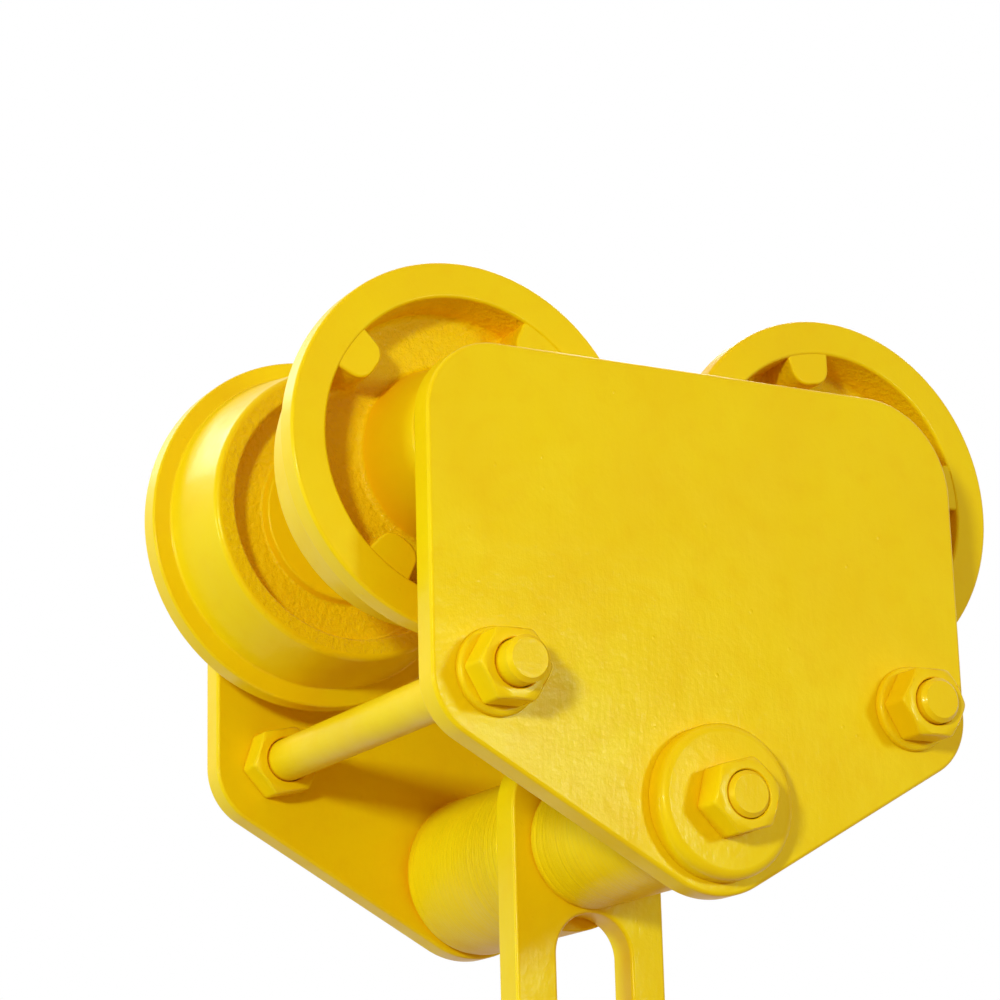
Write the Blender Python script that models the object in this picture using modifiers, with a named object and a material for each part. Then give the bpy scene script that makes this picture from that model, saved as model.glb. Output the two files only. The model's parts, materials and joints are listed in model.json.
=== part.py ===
"""Push beam trolley: two side plates, four flanged wheels, tie rods, and a hanger swinging on a load shaft.

X runs along the beam, Y across it and Z up. The origin lies midway between the four wheels, on the running
surface of the beam's lower flange.
"""

import math

import bmesh
import bpy
from mathutils import Matrix

MM = 0.001
CLEARANCE = 0.3 * MM

# Wheels, with widths measured from the plate's inner face towards the web of the beam
TREAD_RADIUS = 68 * MM
TREAD_DROP = 5.5 * MM
TREAD_WIDTH = 34 * MM
TREAD_CHAMFER = 2 * MM
FLANGE_HEIGHT = 7.5 * MM
FLANGE_THICKNESS = 12 * MM
FLANGE_TAPER = 1.5 * MM
FLANGE_FILLET = 2.5 * MM
WHEEL_SETBACK = 19 * MM
WHEEL_GAP = 21 * MM
RIM_WALL = 7 * MM
RIM_END_WALL = 8.5 * MM
RECESS_DEPTH = 20 * MM
RECESS_DRAFT = 1.5 * MM
RECESS_FILLET = 3 * MM
WEB_THICKNESS = 14 * MM
HUB_WALL = 5 * MM
HUB_DRAFT = 6 * MM
HUB_END_GAP = 6 * MM
HUB_COVER_THICKNESS = 12 * MM
EDGE_BREAK = 1.2 * MM
LUG_COUNT = 4
LUG_WIDTH = 21 * MM
LUG_TIP_WIDTH = 16 * MM
LUG_CORNER_RADIUS = 7 * MM
LUG_REACH = 13 * MM
LUG_ROOT = 2 * MM
LUG_SETBACK = 0.6 * MM
WHEEL_TURNS = {"near_left": 35, "near_right": 80, "far_left": 20, "far_right": 72}

# Side plates, with distances measured from the axes of the wheels and of the load shaft
FRAME_WIDTH = 210 * MM
PLATE_THICKNESS = 12 * MM
AXLE_SIDE_MARGIN = 34 * MM
AXLE_TOP_MARGIN = 33 * MM
SHAFT_DROP = 71 * MM
KNEE_RISE = 27 * MM
KNEE_RADIUS = 26 * MM
TIP_RADIUS = 35 * MM
LEFT_CORNER_RADIUS = 30 * MM
RIGHT_CORNER_RADIUS = 38 * MM
PLATE_EDGE_ROUNDING = 1.5 * MM

# Axles and bearings
AXLE_RADIUS = 12.5 * MM
AXLE_COLLAR_RADIUS = 19 * MM
AXLE_END_ROOM = 4 * MM
SPIGOT_RADIUS = 10 * MM
SPIGOT_DEPTH = 7 * MM
BEARING_RADIUS = 26 * MM
BEARING_WIDTH = 30 * MM
BEARING_INSET = 6 * MM
CIRCLIP_THICKNESS = 2 * MM
CIRCLIP_WIDTH = 3 * MM
CIRCLIP_GROOVE_DEPTH = 1.2 * MM
CIRCLIP_GAP_ANGLE = 50
CIRCLIP_EYE_RADIUS = 2.4 * MM

# Tie rods, nuts and washers
ROD_RADIUS = 9 * MM
ROD_SIDE_MARGIN = 26.5 * MM
ROD_RISE = 43.5 * MM
ROD_END = 6.5 * MM
ROD_STAGGER = 2.5 * MM
NUT_WIDTH = 27 * MM
NUT_HEIGHT = 13.5 * MM
NUT_FACE_SHARE = 0.95
NUT_CHAMFER_ANGLE = 30
OUTER_NUT_TURN = 30
INNER_NUT_TURN = 42
SHAFT_NUT_TURN = 45
THREAD_END_CHAMFER = 1.5 * MM
WASHER_RADIUS = 17 * MM
WASHER_THICKNESS = 3 * MM

# Load shaft, collars and sleeves
SHAFT_RADIUS = 14 * MM
SHAFT_SHOULDER_SETBACK = 1 * MM
SHAFT_THREAD_RADIUS = 9 * MM
SHAFT_END = 1.5 * MM
COLLAR_RADIUS = 30 * MM
COLLAR_THICKNESS = 9 * MM
COLLAR_EDGE_RADIUS = 4 * MM
NEAR_SLEEVE_RADIUS = 27 * MM
NEAR_SLEEVE_EDGE_RADIUS = 1 * MM
FAR_SLEEVE_RADIUS = 34 * MM
FAR_SLEEVE_EDGE_RADIUS = 6 * MM

# Hanger
HANGER_WIDTH = 69 * MM
HANGER_THICKNESS = 15 * MM
HANGER_TOP_RISE = 12 * MM
HANGER_LENGTH = 118 * MM
SLOT_WIDTH = 34.5 * MM
SLOT_OFFSET = 1.5 * MM
SLOT_NECK = 14 * MM
SLOT_BRIDGE = 22 * MM
HANGER_EDGE_ROUNDING = 1.5 * MM

# Smoothness of round shapes
PLATE_ARC_STEP = 15
LUG_ARC_STEP = 30
WHEEL_STEPS = 32
HOLE_STEPS = 24
NUT_STEPS = 18
HIDDEN_STEPS = 18
EYE_STEPS = 8
EDGE_ARC_STEPS = 3
SHARP_ANGLE = 35
NUT_SHARP_ANGLE = 25
ROUNDED_EDGE_ANGLE = 60

ENAMEL = (0.78, 0.52, 0.008)
ENAMEL_SHAFT = (0.74, 0.49, 0.012)
BEARING_STEEL = (0.42, 0.43, 0.45)
SPRING_STEEL = (0.10, 0.10, 0.11)
BRIGHT_STEEL = (0.50, 0.50, 0.50)

FLANGE_RADIUS = TREAD_RADIUS + FLANGE_HEIGHT
WHEEL_SPREAD = 2 * FLANGE_RADIUS + WHEEL_GAP
WHEEL_Z = TREAD_RADIUS
PLATE_WIDTH = WHEEL_SPREAD + 2 * AXLE_SIDE_MARGIN
PLATE_TOP = SHAFT_DROP + WHEEL_Z + AXLE_TOP_MARGIN
PLATE_INNER = FRAME_WIDTH / 2 - PLATE_THICKNESS
ROD_SPREAD = PLATE_WIDTH - 2 * ROD_SIDE_MARGIN
SHAFT_Z = -SHAFT_DROP
ROD_Z = SHAFT_Z + ROD_RISE
BEARING_START = HUB_END_GAP + BEARING_INSET
SIDES = {"near": -1, "far": 1}
ENDS = {"left": -1, "right": 1}
SLEEVE_SHAPES = {
    "near": (NEAR_SLEEVE_RADIUS, NEAR_SLEEVE_EDGE_RADIUS),
    "far": (FAR_SLEEVE_RADIUS, FAR_SLEEVE_EDGE_RADIUS),
}


def clear_scene():
    for obj in list(bpy.data.objects):
        bpy.data.objects.remove(obj, do_unlink=True)


def new_collection(name, hidden=False):
    collection = bpy.data.collections.new(name)
    collection.hide_render = hidden
    bpy.context.scene.collection.children.link(collection)
    return collection


def new_material(name, colour, roughness, metallic):
    material = bpy.data.materials.new(name)
    material.use_nodes = True
    shader = material.node_tree.nodes["Principled BSDF"]
    shader.inputs["Base Color"].default_value = (*colour, 1)
    shader.inputs["Roughness"].default_value = roughness
    shader.inputs["Metallic"].default_value = metallic
    material.diffuse_color = (*colour, 1)
    return material


def new_object(name, mesh, collection, parent=None, material=None):
    obj = bpy.data.objects.new(name, mesh)
    collection.objects.link(obj)
    obj.parent = parent
    if material:
        mesh.materials.append(material)
    return obj


def new_empty(name, collection, matrix):
    empty = bpy.data.objects.new(name, None)
    empty.empty_display_size = 20 * MM
    collection.objects.link(empty)
    empty.matrix_world = matrix
    return empty


def smooth(mesh, angle=SHARP_ANGLE):
    mesh.shade_smooth()
    mesh.set_sharp_from_angle(angle=math.radians(angle))


def rounded(corners, step):
    """An outline through corners (x, y, radius), with an arc at each corner that has a radius."""
    points = []
    for i, (x, y, radius) in enumerate(corners):
        if radius == 0:
            points.append((x, y))
            continue
        before = corners[i - 1]
        after = corners[(i + 1) % len(corners)]
        back = math.atan2(before[1] - y, before[0] - x)
        ahead = math.atan2(after[1] - y, after[0] - x)
        opening = (ahead - back + math.pi) % (2 * math.pi) - math.pi
        middle = back + opening / 2
        reach = radius / math.sin(abs(opening) / 2)
        centre = (x + reach * math.cos(middle), y + reach * math.sin(middle))
        turn = math.copysign(math.pi - abs(opening), opening)
        count = max(1, math.ceil(abs(math.degrees(turn)) / step))
        start = middle + math.pi + turn / 2
        for k in range(count + 1):
            angle = start - turn * k / count
            points.append((centre[0] + radius * math.cos(angle), centre[1] + radius * math.sin(angle)))
    return points


def arc(radius, start, end, steps):
    """Points about the origin, from one angle to another in degrees."""
    angles = [math.radians(start + (end - start) * k / steps) for k in range(steps + 1)]
    return [(radius * math.cos(angle), radius * math.sin(angle)) for angle in angles]


def baked(obj):
    """The mesh that an object shows with its modifiers, on its own."""
    bpy.context.view_layer.update()
    graph = bpy.context.evaluated_depsgraph_get()
    mesh = bpy.data.meshes.new_from_object(obj.evaluated_get(graph))
    shape = bmesh.new()
    shape.from_mesh(mesh)
    bmesh.ops.remove_doubles(shape, verts=shape.verts, dist=1e-6)
    bmesh.ops.recalc_face_normals(shape, faces=shape.faces)
    shape.to_mesh(mesh)
    shape.free()
    return mesh


def slab_mesh(name, outline, thickness):
    """A flat outline in local X and Y, with its thickness centred on local Z."""
    curve = bpy.data.curves.new(name, "CURVE")
    curve.dimensions = "2D"
    curve.fill_mode = "BOTH"
    curve.extrude = thickness / 2
    spline = curve.splines.new("POLY")
    spline.points.add(len(outline) - 1)
    for point, (x, y) in zip(spline.points, outline):
        point.co = (x, y, 0, 1)
    spline.use_cyclic_u = True
    flat = bpy.data.objects.new(name, curve)
    bpy.context.scene.collection.objects.link(flat)
    mesh = baked(flat)
    bpy.data.objects.remove(flat)
    mesh.name = name
    return mesh


def turned_mesh(name, profile, steps, closed=True):
    """A (radius, height) profile turned about local Z. A closed profile makes a ring."""
    mesh = bpy.data.meshes.new(name)
    shape = bmesh.new()
    verts = [shape.verts.new((radius, 0, height)) for radius, height in profile]
    for first, second in zip(verts, verts[1:]):
        shape.edges.new((first, second))
    if closed:
        shape.edges.new((verts[-1], verts[0]))
    shape.to_mesh(mesh)
    shape.free()
    blank = bpy.data.objects.new(name, mesh)
    bpy.context.scene.collection.objects.link(blank)
    screw = blank.modifiers.new("Turn", "SCREW")
    screw.steps = steps
    screw.render_steps = steps
    screw.use_merge_vertices = True
    screw.merge_threshold = 1e-5
    solid = baked(blank)
    bpy.data.objects.remove(blank)
    bpy.data.meshes.remove(mesh)
    solid.name = name
    return solid


def ring_profile(inner, outer, height, edge_radius=0):
    """A rectangle from z = 0 to height, with its outer edge rounded at the top where it has a radius."""
    top = [(outer, height)]
    if edge_radius:
        quarter = arc(edge_radius, 90, 0, EDGE_ARC_STEPS)
        top = [(outer - edge_radius + x, height - edge_radius + y) for x, y in quarter]
    return top + [(outer, 0), (inner, 0), (inner, height)]


def rod_profile(radius, length, chamfer):
    """A plain round bar from z = 0 to length, with chamfered ends."""
    return [
        (0, length),
        (radius - chamfer, length),
        (radius, length - chamfer),
        (radius, chamfer),
        (radius - chamfer, 0),
        (0, 0),
    ]


def cylinder_mesh(name, radius, length, steps):
    mesh = bpy.data.meshes.new(name)
    shape = bmesh.new()
    bmesh.ops.create_cone(
        shape, cap_ends=True, segments=steps, radius1=radius, radius2=radius, depth=length
    )
    shape.to_mesh(mesh)
    shape.free()
    return mesh


def add_boolean(obj, cutter, operation):
    modifier = obj.modifiers.new(cutter.name, "BOOLEAN")
    modifier.operation = operation
    modifier.solver = "EXACT"
    modifier.object = cutter
    cutter.display_type = "WIRE"
    cutter.hide_render = True


def add_edge_rounding(obj, width):
    bevel = obj.modifiers.new("Edge rounding", "BEVEL")
    bevel.width = width
    bevel.segments = 1
    bevel.limit_method = "ANGLE"
    bevel.angle_limit = math.radians(ROUNDED_EDGE_ANGLE)


def across_beam(x, y, z, inwards=1):
    """A frame at (x, y, z) whose local Z runs along +Y, or along -Y where inwards is -1."""
    return Matrix.Translation((x, y, z)) @ Matrix.Rotation(math.radians(-90 * inwards), 4, "X")


def plate_outline():
    """The five-cornered plate about the load shaft's axis. Its two slopes touch the round tip."""
    half = PLATE_WIDTH / 2
    reach = math.hypot(half, KNEE_RISE)
    slope = math.atan2(KNEE_RISE, half) + math.asin(TIP_RADIUS / reach)
    return rounded(
        [
            (half, PLATE_TOP, RIGHT_CORNER_RADIUS),
            (-half, PLATE_TOP, LEFT_CORNER_RADIUS),
            (-half, KNEE_RISE, KNEE_RADIUS),
            (0, -TIP_RADIUS / math.cos(slope), TIP_RADIUS),
            (half, KNEE_RISE, KNEE_RADIUS),
        ],
        PLATE_ARC_STEP,
    )


def hole(name, x, y, z, radius, length, cutters, root):
    """A round cutter through (x, y, z) with its axis along Y."""
    cutter = new_object(name, cylinder_mesh(name, radius, length, HOLE_STEPS), cutters, root)
    cutter.matrix_world = across_beam(x, y, z)
    return cutter


def make_side_plate(side, parts, cutters, root, material):
    sign = SIDES[side]
    middle = sign * (FRAME_WIDTH - PLATE_THICKNESS) / 2
    name = f"side_plate_{side}"
    mesh = slab_mesh(name, plate_outline(), PLATE_THICKNESS)
    mesh.transform(Matrix.Rotation(math.radians(90), 4, "X"))
    plate = new_object(name, mesh, parts, root, material)
    plate.location = (0, middle, SHAFT_Z)
    add_edge_rounding(plate, PLATE_EDGE_ROUNDING)
    through = 3 * PLATE_THICKNESS
    bore = SHAFT_RADIUS + CLEARANCE
    shaft_hole = hole(f"{name}_shaft_hole", 0, middle, SHAFT_Z, bore, through, cutters, root)
    add_boolean(plate, shaft_hole, "DIFFERENCE")
    for end, way in ENDS.items():
        x = way * ROD_SPREAD / 2
        bore = ROD_RADIUS + CLEARANCE
        rod_hole = hole(f"{name}_rod_hole_{end}", x, middle, ROD_Z, bore, through, cutters, root)
        add_boolean(plate, rod_hole, "DIFFERENCE")
        x = way * WHEEL_SPREAD / 2
        bore = SPIGOT_RADIUS + CLEARANCE
        length = 2 * (SPIGOT_DEPTH + CLEARANCE)
        socket = hole(
            f"{name}_axle_socket_{end}", x, sign * PLATE_INNER, WHEEL_Z, bore, length, cutters, root
        )
        add_boolean(plate, socket, "DIFFERENCE")
    smooth(mesh)


def wheel_profile():
    """The casting's section, from the hub's covered end round the tread and flange to the bearing bore."""
    flange_face = WHEEL_SETBACK
    flange_back = flange_face + FLANGE_THICKNESS
    tread_end = flange_back + TREAD_WIDTH
    tread_end_radius = TREAD_RADIUS - TREAD_DROP
    rim_inner = TREAD_RADIUS - RIM_WALL
    rim_inner_end = tread_end_radius - RIM_END_WALL
    floor = flange_face + RECESS_DEPTH
    back_floor = floor + WEB_THICKNESS
    hub_end = BEARING_RADIUS + HUB_WALL
    hub_root = hub_end + HUB_DRAFT
    bore = BEARING_RADIUS + CLEARANCE
    groove = bore + CIRCLIP_GROOVE_DEPTH
    groove_start = BEARING_START - CIRCLIP_THICKNESS - 2 * CLEARANCE
    bore_end = BEARING_START + BEARING_WIDTH + AXLE_END_ROOM
    cover_end = bore_end + HUB_COVER_THICKNESS
    return [
        (0, cover_end),
        (hub_root - EDGE_BREAK, cover_end),
        (hub_root, back_floor),
        (rim_inner_end - RECESS_FILLET, back_floor),
        (rim_inner_end, tread_end),
        (tread_end_radius - TREAD_CHAMFER, tread_end),
        (tread_end_radius, tread_end - TREAD_CHAMFER),
        (TREAD_RADIUS, flange_back + FLANGE_FILLET),
        (TREAD_RADIUS + FLANGE_FILLET, flange_back),
        (FLANGE_RADIUS, flange_back - FLANGE_TAPER),
        (FLANGE_RADIUS, flange_face + EDGE_BREAK),
        (FLANGE_RADIUS - EDGE_BREAK, flange_face),
        (rim_inner, flange_face),
        (rim_inner - RECESS_DRAFT, floor - RECESS_FILLET),
        (rim_inner - RECESS_DRAFT - RECESS_FILLET, floor),
        (hub_root + RECESS_FILLET, floor),
        (hub_root, floor - RECESS_FILLET),
        (hub_end, HUB_END_GAP + EDGE_BREAK),
        (hub_end - EDGE_BREAK, HUB_END_GAP),
        (bore, HUB_END_GAP),
        (bore, groove_start),
        (groove, groove_start),
        (groove, BEARING_START),
        (bore, BEARING_START),
        (bore, bore_end),
        (0, bore_end),
    ]


def lug_mesh(name):
    """A block tapering from the rim towards the hub, with its face just under the flange face."""
    half = LUG_WIDTH / 2
    tip_half = LUG_TIP_WIDTH / 2
    root = TREAD_RADIUS - RIM_WALL + LUG_ROOT
    tip = root - LUG_ROOT - LUG_REACH
    corners = [
        (root, -half, 0),
        (root, half, 0),
        (tip, tip_half, LUG_CORNER_RADIUS),
        (tip, -tip_half, LUG_CORNER_RADIUS),
    ]
    start = WHEEL_SETBACK + LUG_SETBACK
    end = WHEEL_SETBACK + RECESS_DEPTH + RECESS_FILLET
    mesh = slab_mesh(name, rounded(corners, LUG_ARC_STEP), end - start)
    mesh.transform(Matrix.Translation((0, 0, (start + end) / 2)))
    return mesh


def make_wheel(station, axis, parts, cutters, material):
    mesh = turned_mesh(f"wheel_{station}", wheel_profile(), WHEEL_STEPS, closed=False)
    wheel = new_object(mesh.name, mesh, parts, axis, material)
    wheel.rotation_euler.z = math.radians(WHEEL_TURNS[station])
    for k in range(LUG_COUNT):
        name = f"wheel_{station}_lug_{k + 1}"
        lug = new_object(name, lug_mesh(name), cutters, wheel)
        lug.rotation_euler.z = 2 * math.pi * k / LUG_COUNT
        add_boolean(wheel, lug, "UNION")
    smooth(mesh)


def axle_profile():
    """Spigot in the plate's blind socket, collar against its inner face, and journal under the bearing."""
    collar_end = BEARING_START - CLEARANCE
    end = BEARING_START + BEARING_WIDTH + CLEARANCE
    return [
        (0, end),
        (AXLE_RADIUS - EDGE_BREAK, end),
        (AXLE_RADIUS, end - EDGE_BREAK),
        (AXLE_RADIUS, collar_end),
        (AXLE_COLLAR_RADIUS, collar_end),
        (AXLE_COLLAR_RADIUS, CLEARANCE),
        (SPIGOT_RADIUS, CLEARANCE),
        (SPIGOT_RADIUS, -SPIGOT_DEPTH),
        (0, -SPIGOT_DEPTH),
    ]


def make_axle(station, axis, parts, material):
    mesh = turned_mesh(f"axle_{station}", axle_profile(), HIDDEN_STEPS, closed=False)
    new_object(mesh.name, mesh, parts, axis, material)
    smooth(mesh)


def make_bearing(station, axis, parts, material):
    inner = (AXLE_RADIUS + CLEARANCE) / math.cos(math.pi / HIDDEN_STEPS)
    profile = ring_profile(inner, BEARING_RADIUS, BEARING_WIDTH)
    mesh = turned_mesh(f"bearing_{station}", profile, HIDDEN_STEPS)
    bearing = new_object(mesh.name, mesh, parts, axis, material)
    bearing.location.z = BEARING_START
    smooth(mesh)


def make_circlip(station, top, axis, parts, cutters, material):
    """A spring ring in the hub's groove, open at the angle top, with a round eye at each end."""
    name = f"circlip_{station}"
    outer = BEARING_RADIUS + CIRCLIP_GROOVE_DEPTH
    inner = outer - CIRCLIP_WIDTH
    start = top + CIRCLIP_GAP_ANGLE / 2
    end = top + 360 - CIRCLIP_GAP_ANGLE / 2
    outline = arc(outer, start, end, HIDDEN_STEPS) + arc(inner, end, start, HIDDEN_STEPS)
    mesh = slab_mesh(name, outline, CIRCLIP_THICKNESS)
    clip = new_object(name, mesh, parts, axis, material)
    clip.location.z = BEARING_START - CLEARANCE - CIRCLIP_THICKNESS / 2
    for x, y in arc(inner, start, end, 1):
        eye_name = f"{name}_eye_{len(clip.modifiers) + 1}"
        eye_mesh = cylinder_mesh(eye_name, CIRCLIP_EYE_RADIUS, CIRCLIP_THICKNESS, EYE_STEPS)
        eye = new_object(eye_name, eye_mesh, cutters, clip)
        eye.location = (x, y, 0)
        add_boolean(clip, eye, "UNION")
    smooth(mesh)


def make_wheel_station(side, end, parts, cutters, root, materials):
    """An empty on the wheel's axis, at the plate's inner face, with the wheel and what it turns on."""
    sign = SIDES[side]
    station = f"{side}_{end}"
    place = across_beam(ENDS[end] * WHEEL_SPREAD / 2, sign * PLATE_INNER, WHEEL_Z, -sign)
    axis = new_empty(f"axis_{station}", parts, place)
    axis.parent = root
    make_wheel(station, axis, parts, cutters, materials["wheel"])
    make_axle(station, axis, parts, materials["axle"])
    make_bearing(station, axis, parts, materials["bearing"])
    make_circlip(station, 90 * sign, axis, parts, cutters, materials["circlip"])


def nut_blank_profile(bore):
    """The turned blank of a nut, whose outer face is chamfered at the corners of the hexagon."""
    over = NUT_WIDTH / math.sqrt(3) + CLEARANCE
    face = NUT_FACE_SHARE * NUT_WIDTH / 2
    drop = (over - face) * math.tan(math.radians(NUT_CHAMFER_ANGLE))
    return [(face, NUT_HEIGHT), (over, NUT_HEIGHT - drop), (over, 0), (bore, 0), (bore, NUT_HEIGHT)]


def make_nut(name, place, bore, turn, parts, cutters, root, material):
    """A hexagon nut with its seat at local z = 0."""
    prism = cylinder_mesh(name, NUT_WIDTH / math.sqrt(3), 2 * NUT_HEIGHT, 6)
    turned = Matrix.Rotation(math.radians(turn), 4, "Z")
    prism.transform(Matrix.Translation((0, 0, NUT_HEIGHT / 2)) @ turned)
    nut = new_object(name, prism, parts, root, material)
    nut.matrix_world = place
    blank_mesh = turned_mesh(f"{name}_blank", nut_blank_profile(bore), NUT_STEPS)
    blank = new_object(blank_mesh.name, blank_mesh, cutters, root)
    blank.matrix_world = place
    add_boolean(nut, blank, "INTERSECT")
    smooth(prism, NUT_SHARP_ANGLE)


def make_washer(name, place, parts, root, material):
    profile = ring_profile(ROD_RADIUS + CLEARANCE, WASHER_RADIUS, WASHER_THICKNESS)
    mesh = turned_mesh(name, profile, HOLE_STEPS)
    washer = new_object(name, mesh, parts, root, material)
    washer.matrix_world = place
    smooth(mesh)


def make_tie_rod(end, parts, cutters, root, materials):
    """A tie rod with a nut inside each plate, and a washer and a nut outside it."""
    way = ENDS[end]
    x = way * ROD_SPREAD / 2
    washer_seat = FRAME_WIDTH / 2 + CLEARANCE
    outer_seat = washer_seat + WASHER_THICKNESS + CLEARANCE
    inner_seat = PLATE_INNER - CLEARANCE
    length = 2 * (outer_seat + NUT_HEIGHT + ROD_END)
    profile = rod_profile(ROD_RADIUS, length, THREAD_END_CHAMFER)
    mesh = turned_mesh(f"tie_rod_{end}", profile, HOLE_STEPS, closed=False)
    rod = new_object(mesh.name, mesh, parts, root, materials["rod"])
    rod.matrix_world = across_beam(x, -length / 2 + way * ROD_STAGGER, ROD_Z)
    smooth(mesh)
    bore = ROD_RADIUS + CLEARANCE
    nut = materials["nut"]
    for side, sign in SIDES.items():
        label = f"{side}_{end}"
        place = across_beam(x, sign * outer_seat, ROD_Z, sign)
        make_nut(f"rod_nut_outer_{label}", place, bore, OUTER_NUT_TURN, parts, cutters, root, nut)
        place = across_beam(x, sign * inner_seat, ROD_Z, -sign)
        make_nut(f"rod_nut_inner_{label}", place, bore, INNER_NUT_TURN, parts, cutters, root, nut)
        place = across_beam(x, sign * washer_seat, ROD_Z, sign)
        make_washer(f"rod_washer_{label}", place, parts, root, materials["washer"])


def shaft_profile():
    """The load shaft from thread to thread, with a shoulder just inside each plate's outer face."""
    shoulder = FRAME_WIDTH / 2 - SHAFT_SHOULDER_SETBACK
    end = FRAME_WIDTH / 2 + COLLAR_THICKNESS + NUT_HEIGHT + 2 * CLEARANCE + SHAFT_END
    tip = SHAFT_THREAD_RADIUS - THREAD_END_CHAMFER
    upper = [
        (0, end),
        (tip, end),
        (SHAFT_THREAD_RADIUS, end - THREAD_END_CHAMFER),
        (SHAFT_THREAD_RADIUS, shoulder),
        (SHAFT_RADIUS, shoulder),
    ]
    return upper + [(radius, -height) for radius, height in reversed(upper)]


def make_load_shaft(parts, cutters, root, materials):
    mesh = turned_mesh("load_shaft", shaft_profile(), HOLE_STEPS, closed=False)
    shaft = new_object(mesh.name, mesh, parts, root, materials["shaft"])
    shaft.matrix_world = across_beam(0, 0, SHAFT_Z)
    smooth(mesh)
    bore = SHAFT_THREAD_RADIUS + CLEARANCE
    collar_seat = FRAME_WIDTH / 2 + CLEARANCE
    nut_seat = collar_seat + COLLAR_THICKNESS + CLEARANCE
    for side, sign in SIDES.items():
        profile = ring_profile(bore, COLLAR_RADIUS, COLLAR_THICKNESS, COLLAR_EDGE_RADIUS)
        collar_mesh = turned_mesh(f"shaft_collar_{side}", profile, WHEEL_STEPS)
        collar = new_object(collar_mesh.name, collar_mesh, parts, root, materials["collar"])
        collar.matrix_world = across_beam(0, sign * collar_seat, SHAFT_Z, sign)
        smooth(collar_mesh)
        place = across_beam(0, sign * nut_seat, SHAFT_Z, sign)
        make_nut(f"shaft_nut_{side}", place, bore, SHAFT_NUT_TURN, parts, cutters, root, materials["nut"])


def make_sleeve(side, parts, root, material):
    """The spacer sleeve on the load shaft between the hanger and one plate, rounded at the plate."""
    sign = SIDES[side]
    start = HANGER_THICKNESS / 2 + CLEARANCE
    length = PLATE_INNER - CLEARANCE - start
    radius, edge_radius = SLEEVE_SHAPES[side]
    profile = ring_profile(SHAFT_RADIUS + CLEARANCE, radius, length, edge_radius)
    mesh = turned_mesh(f"spacer_sleeve_{side}", profile, WHEEL_STEPS)
    sleeve = new_object(mesh.name, mesh, parts, root, material)
    sleeve.matrix_world = across_beam(0, sign * start, SHAFT_Z, sign)
    smooth(mesh)


def stadium(half_width, top, bottom):
    """A tall outline with half-round ends."""
    corners = [(half_width, top), (-half_width, top), (-half_width, bottom), (half_width, bottom)]
    return rounded([(x, y, half_width) for x, y in corners], PLATE_ARC_STEP)


def make_hanger(parts, cutters, root, material):
    """The slotted plate that swings on the load shaft, with its origin on the shaft's axis."""
    upright = Matrix.Rotation(math.radians(90), 4, "X")
    half = HANGER_WIDTH / 2
    outline = stadium(half, HANGER_TOP_RISE + half, -HANGER_LENGTH)
    mesh = slab_mesh("hanger", outline, HANGER_THICKNESS)
    mesh.transform(upright)
    hanger = new_object("hanger", mesh, parts, root, material)
    hanger.location.z = SHAFT_Z
    bore = SHAFT_RADIUS + CLEARANCE
    slot_outline = stadium(SLOT_WIDTH / 2, -bore - SLOT_NECK, SLOT_BRIDGE - HANGER_LENGTH)
    slot_mesh = slab_mesh("hanger_slot", slot_outline, 2 * HANGER_THICKNESS)
    slot_mesh.transform(upright)
    slot = new_object("hanger_slot", slot_mesh, cutters, root)
    slot.location = (SLOT_OFFSET, 0, SHAFT_Z)
    add_boolean(hanger, slot, "DIFFERENCE")
    add_edge_rounding(hanger, HANGER_EDGE_ROUNDING)
    shaft_hole = hole("hanger_bore", 0, 0, SHAFT_Z, bore, 2 * HANGER_THICKNESS, cutters, root)
    add_boolean(hanger, shaft_hole, "DIFFERENCE")
    smooth(mesh)


def make_materials():
    return {
        "plate": new_material("enamel_side_plates", ENAMEL, 0.28, 0),
        "wheel": new_material("enamel_wheels", ENAMEL, 0.30, 0),
        "nut": new_material("enamel_nuts", ENAMEL, 0.28, 0),
        "washer": new_material("enamel_washers", ENAMEL, 0.30, 0),
        "rod": new_material("enamel_tie_rods", ENAMEL, 0.25, 0),
        "shaft": new_material("enamel_load_shaft", ENAMEL_SHAFT, 0.28, 0),
        "collar": new_material("enamel_collars", ENAMEL, 0.27, 0),
        "sleeve": new_material("enamel_sleeves", ENAMEL_SHAFT, 0.26, 0),
        "hanger": new_material("enamel_hanger", ENAMEL, 0.28, 0),
        "axle": new_material("axle_steel", BRIGHT_STEEL, 0.35, 1),
        "bearing": new_material("bearing_steel", BEARING_STEEL, 0.25, 1),
        "circlip": new_material("spring_steel", SPRING_STEEL, 0.45, 1),
    }


def main():
    clear_scene()
    parts = new_collection("beam_trolley")
    cutters = new_collection("cutters", hidden=True)
    materials = make_materials()
    root = new_empty("trolley", parts, Matrix())
    for side in SIDES:
        make_side_plate(side, parts, cutters, root, materials["plate"])
        make_sleeve(side, parts, root, materials["sleeve"])
        for end in ENDS:
            make_wheel_station(side, end, parts, cutters, root, materials)
    for end in ENDS:
        make_tie_rod(end, parts, cutters, root, materials)
    make_load_shaft(parts, cutters, root, materials)
    make_hanger(parts, cutters, root, materials["hanger"])


main()
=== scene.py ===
"""Looks of the push beam trolley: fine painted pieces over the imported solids, a pale studio and the camera."""

import json
import math

import bmesh
import bpy
from mathutils import Matrix, Vector


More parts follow.
